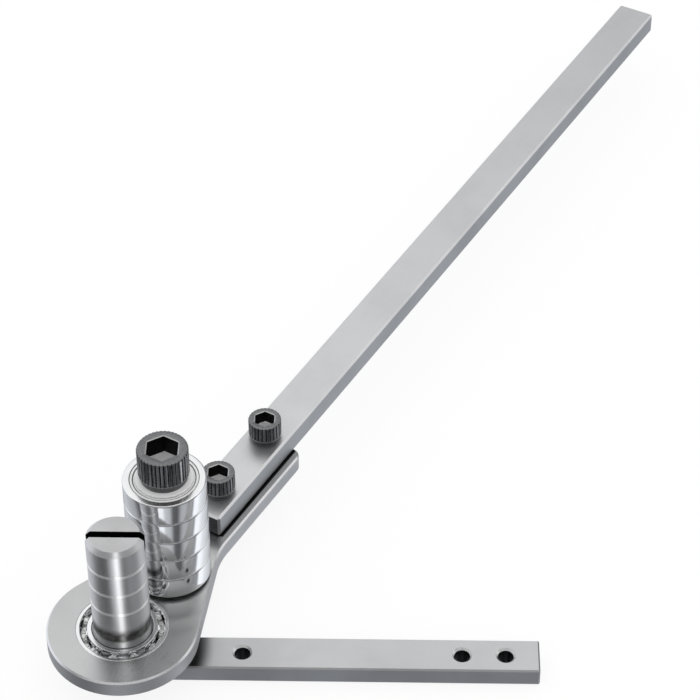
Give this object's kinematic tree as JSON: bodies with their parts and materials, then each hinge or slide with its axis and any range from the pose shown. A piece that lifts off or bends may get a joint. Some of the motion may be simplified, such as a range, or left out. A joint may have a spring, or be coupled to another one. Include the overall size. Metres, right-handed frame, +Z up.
{
  "type": "manual metal bender",
  "caption": "Bench bender for wire, rod and strip: a long handle swings a roller of stacked ball bearings round a grooved fixed post.",
  "frame": {"origin": "post axis at the underside of the base bar", "axes": "+X along the base bar to its free end, +Z up along the post, +Y to the side that the handle lies on"},
  "size_m": [0.2084, 0.355, 0.071],
  "materials": {
    "bar_steel": "satin ground",
    "turned_steel": "fine turned, bright",
    "bearing_steel": "ground and polished",
    "shield_steel": "bright sheet",
    "ball_steel": "mirror",
    "cage_steel": "pressed sheet",
    "shim_steel": "bright",
    "black_oxide": "black oxide, satin"
  },
  "bodies": {
    "base": {"base_bar": "bar_steel", "post": "turned_steel", "main_inner_race": "bearing_steel"},
    "swing_arm": {"swing_plate": "bar_steel", "main_outer_race": "bearing_steel", "handle_bar": "bar_steel", "handle_screw_inner": "black_oxide", "handle_screw_outer": "black_oxide", "roller_bolt": "black_oxide", "roller_shim": "shim_steel", "roller_spacer": "shim_steel", "roller_inner_race_1": "bearing_steel", "roller_inner_race_2": "bearing_steel", "roller_inner_race_3": "bearing_steel", "roller_inner_race_4": "bearing_steel", "roller_inner_race_5": "bearing_steel"},
    "main_ball_cage": {"main_balls": "ball_steel", "main_cage": "cage_steel"},
    "roller_ring_1": {"roller_outer_race_1": "bearing_steel", "roller_shields_1": "shield_steel"},
    "roller_ball_cage_1": {"roller_balls_1": "ball_steel", "roller_cage_1": "cage_steel"},
    "roller_ring_2": {"roller_outer_race_2": "bearing_steel", "roller_shields_2": "shield_steel"},
    "roller_ball_cage_2": {"roller_balls_2": "ball_steel", "roller_cage_2": "cage_steel"},
    "roller_ring_3": {"roller_outer_race_3": "bearing_steel", "roller_shields_3": "shield_steel"},
    "roller_ball_cage_3": {"roller_balls_3": "ball_steel", "roller_cage_3": "cage_steel"},
    "roller_ring_4": {"roller_outer_race_4": "bearing_steel", "roller_shields_4": "shield_steel"},
    "roller_ball_cage_4": {"roller_balls_4": "ball_steel", "roller_cage_4": "cage_steel"},
    "roller_ring_5": {"roller_outer_race_5": "bearing_steel", "roller_shields_5": "shield_steel"},
    "roller_ball_cage_5": {"roller_balls_5": "ball_steel", "roller_cage_5": "cage_steel"}
  },
  "joints": [
    {"name": "arm_swing", "type": "hinge", "parent": "base", "child": "swing_arm", "pos_m": [0, 0, 0.0147], "axis": [0, 0, 1], "continuous": true},
    {"name": "main_cage_turn", "type": "hinge", "parent": "base", "child": "main_ball_cage", "pos_m": [0, 0, 0.0147], "axis": [0, 0, 1], "continuous": true},
    {"name": "roller_spin_1", "type": "hinge", "parent": "swing_arm", "child": "roller_ring_1", "pos_m": [0.01325, 0.0241, 0.0227], "axis": [0, 0, 1], "continuous": true},
    {"name": "roller_cage_turn_1", "type": "hinge", "parent": "swing_arm", "child": "roller_ball_cage_1", "pos_m": [0.01325, 0.0241, 0.0227], "axis": [0, 0, 1], "continuous": true},
    {"name": "roller_spin_2", "type": "hinge", "parent": "swing_arm", "child": "roller_ring_2", "pos_m": [0.01325, 0.0241, 0.0307], "axis": [0, 0, 1], "continuous": true},
    {"name": "roller_cage_turn_2", "type": "hinge", "parent": "swing_arm", "child": "roller_ball_cage_2", "pos_m": [0.01325, 0.0241, 0.0307], "axis": [0, 0, 1], "continuous": true},
    {"name": "roller_spin_3", "type": "hinge", "parent": "swing_arm", "child": "roller_ring_3", "pos_m": [0.01325, 0.0241, 0.0387], "axis": [0, 0, 1], "continuous": true},
    {"name": "roller_cage_turn_3", "type": "hinge", "parent": "swing_arm", "child": "roller_ball_cage_3", "pos_m": [0.01325, 0.0241, 0.0387], "axis": [0, 0, 1], "continuous": true},
    {"name": "roller_spin_4", "type": "hinge", "parent": "swing_arm", "child": "roller_ring_4", "pos_m": [0.01325, 0.0241, 0.0467], "axis": [0, 0, 1], "continuous": true},
    {"name": "roller_cage_turn_4", "type": "hinge", "parent": "swing_arm", "child": "roller_ball_cage_4", "pos_m": [0.01325, 0.0241, 0.0467], "axis": [0, 0, 1], "continuous": true},
    {"name": "roller_spin_5", "type": "hinge", "parent": "swing_arm", "child": "roller_ring_5", "pos_m": [0.01325, 0.0241, 0.0547], "axis": [0, 0, 1], "continuous": true},
    {"name": "roller_cage_turn_5", "type": "hinge", "parent": "swing_arm", "child": "roller_ball_cage_5", "pos_m": [0.01325, 0.0241, 0.0547], "axis": [0, 0, 1], "continuous": true}
  ],
  "couplings": [
    {"joint": "main_cage_turn", "follows": "arm_swing", "ratio": 0.5658},
    {"joint": "roller_cage_turn_1", "follows": "roller_spin_1", "ratio": 0.6322},
    {"joint": "roller_cage_turn_2", "follows": "roller_spin_2", "ratio": 0.6322},
    {"joint": "roller_cage_turn_3", "follows": "roller_spin_3", "ratio": 0.6322},
    {"joint": "roller_cage_turn_4", "follows": "roller_spin_4", "ratio": 0.6322},
    {"joint": "roller_cage_turn_5", "follows": "roller_spin_5", "ratio": 0.6322}
  ]
}
